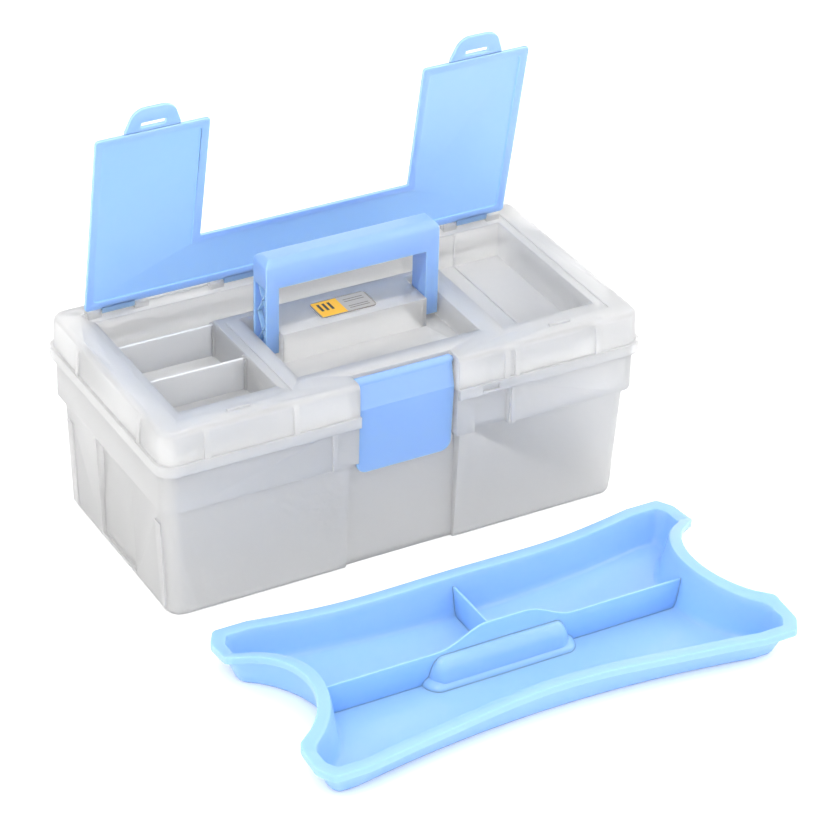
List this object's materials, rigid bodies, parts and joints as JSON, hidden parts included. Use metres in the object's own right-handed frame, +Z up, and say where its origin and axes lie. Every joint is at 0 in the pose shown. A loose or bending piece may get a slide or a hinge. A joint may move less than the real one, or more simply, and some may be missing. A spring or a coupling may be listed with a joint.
{
  "type": "toolbox",
  "caption": "Translucent moulded toolbox with organiser lid, hinged organiser cover, folding handle, drop latch and a lift-out tray standing in front.",
  "frame": {"origin": "centre of the base's underside", "axes": "+X along the box to the right seen from the latch side, +Y to the hinge side at the rear, +Z up"},
  "size_m": [0.3286, 0.371, 0.2805],
  "materials": {
    "frosted_shell": "frosted translucent polypropylene, fine satin grain",
    "blue_plastic": "light blue translucent polypropylene, semi-gloss",
    "label_foil": "printed foil sticker, yellow and silver, no lettering"
  },
  "bodies": {
    "base": {"base_box": "frosted_shell"},
    "lid": {"lid": "frosted_shell", "maker_label": "label_foil"},
    "divider_front": {"divider_front": "frosted_shell"},
    "divider_back": {"divider_back": "frosted_shell"},
    "cover": {"organiser_cover": "blue_plastic"},
    "handle": {"carry_handle": "blue_plastic"},
    "latch": {"front_latch": "blue_plastic"},
    "tray": {"lift_out_tray": "blue_plastic"}
  },
  "joints": [
    {"name": "lid_hinge", "type": "hinge", "parent": "base", "child": "lid", "pos_m": [0, 0.0885, 0.1052], "axis": [-1, 0, 0], "range_deg": [0, 105]},
    {"name": "latch_hinge", "type": "hinge", "parent": "lid", "child": "latch", "pos_m": [0, -0.0716, 0.1292], "axis": [-1, 0, 0], "range_deg": [0, 110]},
    {"name": "cover_hinge", "type": "hinge", "parent": "lid", "child": "cover", "pos_m": [0, 0.065, 0.135], "axis": [-1, 0, 0], "range_deg": [-79.4, 25]},
    {"name": "handle_pivot", "type": "hinge", "parent": "lid", "child": "handle", "pos_m": [0, 0, 0.1313], "axis": [1, 0, 0], "range_deg": [0, 90]},
    {"name": "divider_front_lift", "type": "slide", "parent": "lid", "child": "divider_front", "axis": [0, 0, 1], "range_m": [0, 0.025]},
    {"name": "divider_back_lift", "type": "slide", "parent": "lid", "child": "divider_back", "axis": [0, 0, 1], "range_m": [0, 0.025]},
    {"name": "tray_lift", "type": "slide", "parent": "base", "child": "tray", "axis": [0, 0, 1], "range_m": [0, 0.04]}
  ]
}
